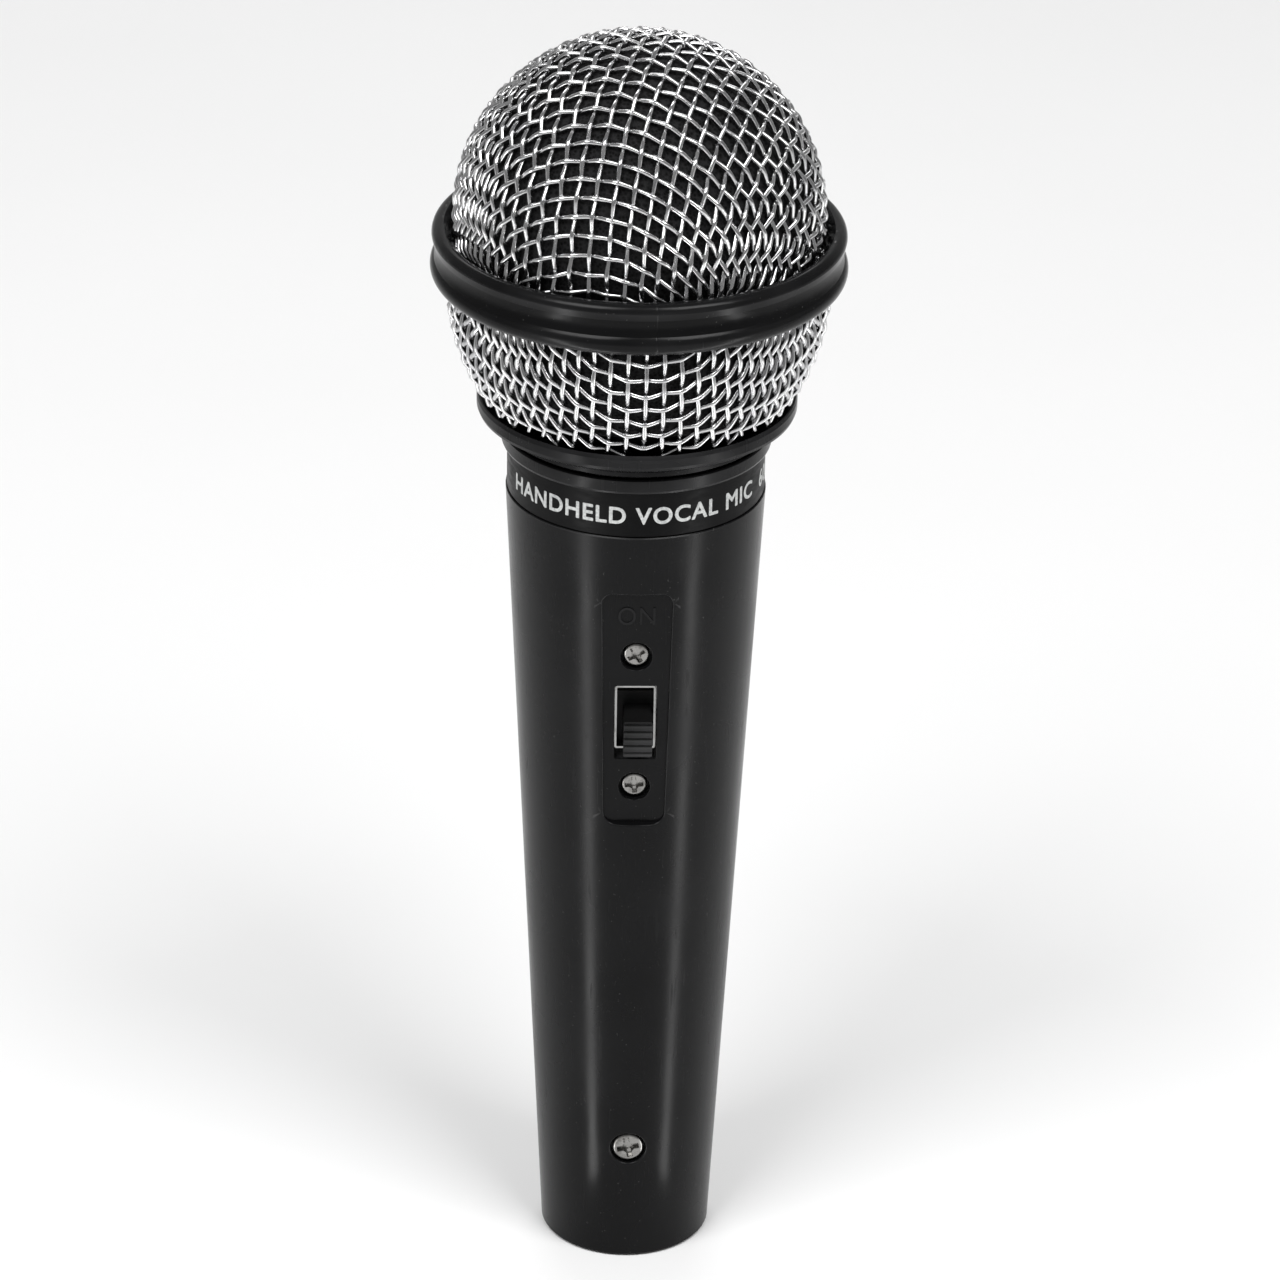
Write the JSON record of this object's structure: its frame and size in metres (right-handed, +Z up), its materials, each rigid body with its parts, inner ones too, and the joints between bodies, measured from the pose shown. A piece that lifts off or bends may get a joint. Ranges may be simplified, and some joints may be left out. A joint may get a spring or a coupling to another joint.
{
  "type": "dynamic microphone",
  "caption": "Handheld vocal microphone: ball-shaped wire grille with a black band, tapered black handle with a slide switch, and a three-pin plug socket in its end.",
  "frame": {"origin": "centre of the handle's bottom rim, on the microphone's axis", "axes": "+Z up the axis from the plug end to the grille; -Y out of the handle on the switch side; +X to the right when the switch faces the viewer"},
  "size_m": [0.0544, 0.0544, 0.1761],
  "materials": {
    "handle_plastic": "moulded gloss black ABS with fine handling marks",
    "band_plastic": "moulded gloss black ABS",
    "label_film": "satin black printed film with light grey capitals",
    "mesh_wire": "bright nickel-plated woven steel wire",
    "black_foam": "open-cell black polyurethane foam",
    "soft_rubber": "matt black rubber",
    "insert_plastic": "matt black glass-filled nylon",
    "pin_plating": "bright nickel plating on brass",
    "screw_nickel": "nickel-plated steel, slightly tarnished in the recess",
    "switch_plating": "bright nickel-plated pressed steel",
    "switch_board": "brown phenolic board",
    "tag_brass": "tinned brass",
    "capsule_plastic": "satin black moulded plastic",
    "yoke_steel": "zinc-plated mild steel",
    "magnet_ceramic": "ground ferrite magnet",
    "coil_wire": "enamelled copper winding",
    "diaphragm_film": "thin formed polyester film",
    "button_plastic": "satin black moulded plastic with cross ribs",
    "wire_red": "PVC insulation",
    "wire_black": "PVC insulation",
    "wire_white": "PVC insulation",
    "wire_yellow": "PVC insulation"
  },
  "bodies": {
    "handle": {"handle_body": "handle_plastic", "label_band": "label_film", "connector_insert": "insert_plastic", "contact_pin_1": "pin_plating", "contact_pin_2": "pin_plating", "contact_pin_3": "pin_plating", "connector_screw": "screw_nickel", "switch_frame": "switch_plating", "switch_base": "switch_board", "switch_terminals": "tag_brass", "switch_screws": "screw_nickel", "shock_mount": "soft_rubber", "capsule_rear_case": "capsule_plastic", "capsule_housing": "capsule_plastic", "capsule_yoke": "yoke_steel", "capsule_magnet": "magnet_ceramic", "capsule_pole_plate": "yoke_steel", "voice_coil": "coil_wire", "capsule_diaphragm": "diaphragm_film", "capsule_front_cap": "capsule_plastic", "capsule_terminal_board": "switch_board", "capsule_terminals": "tag_brass", "wire_capsule_to_switch": "wire_red", "wire_capsule_to_pin_3": "wire_black", "wire_switch_to_pin_2": "wire_white", "wire_switch_to_pin_1": "wire_yellow"},
    "switch_slider": {"switch_button": "button_plastic", "switch_contact": "tag_brass"},
    "gasket": {"neck_gasket": "soft_rubber"},
    "grille": {"grille_dome": "mesh_wire", "grille_band": "band_plastic", "grille_basket": "mesh_wire", "grille_collar": "band_plastic", "dome_foam": "black_foam", "basket_foam": "black_foam"}
  },
  "joints": [
    {"name": "switch_slide", "type": "slide", "parent": "handle", "child": "switch_slider", "axis": [0, -0.0493, 0.9988], "range_m": [0, 0.0032]},
    {"name": "grille_lift", "type": "slide", "parent": "handle", "child": "gasket", "axis": [0, 0, 1], "range_m": [0, 0.0045]},
    {"name": "grille_unscrew", "type": "hinge", "parent": "gasket", "child": "grille", "pos_m": [0, 0, 0.1226], "axis": [0, 0, 1], "range_deg": [0, 1084]}
  ],
  "couplings": [
    {"joint": "grille_unscrew", "follows": "grille_lift", "rad_per_m": 4188.8}
  ]
}
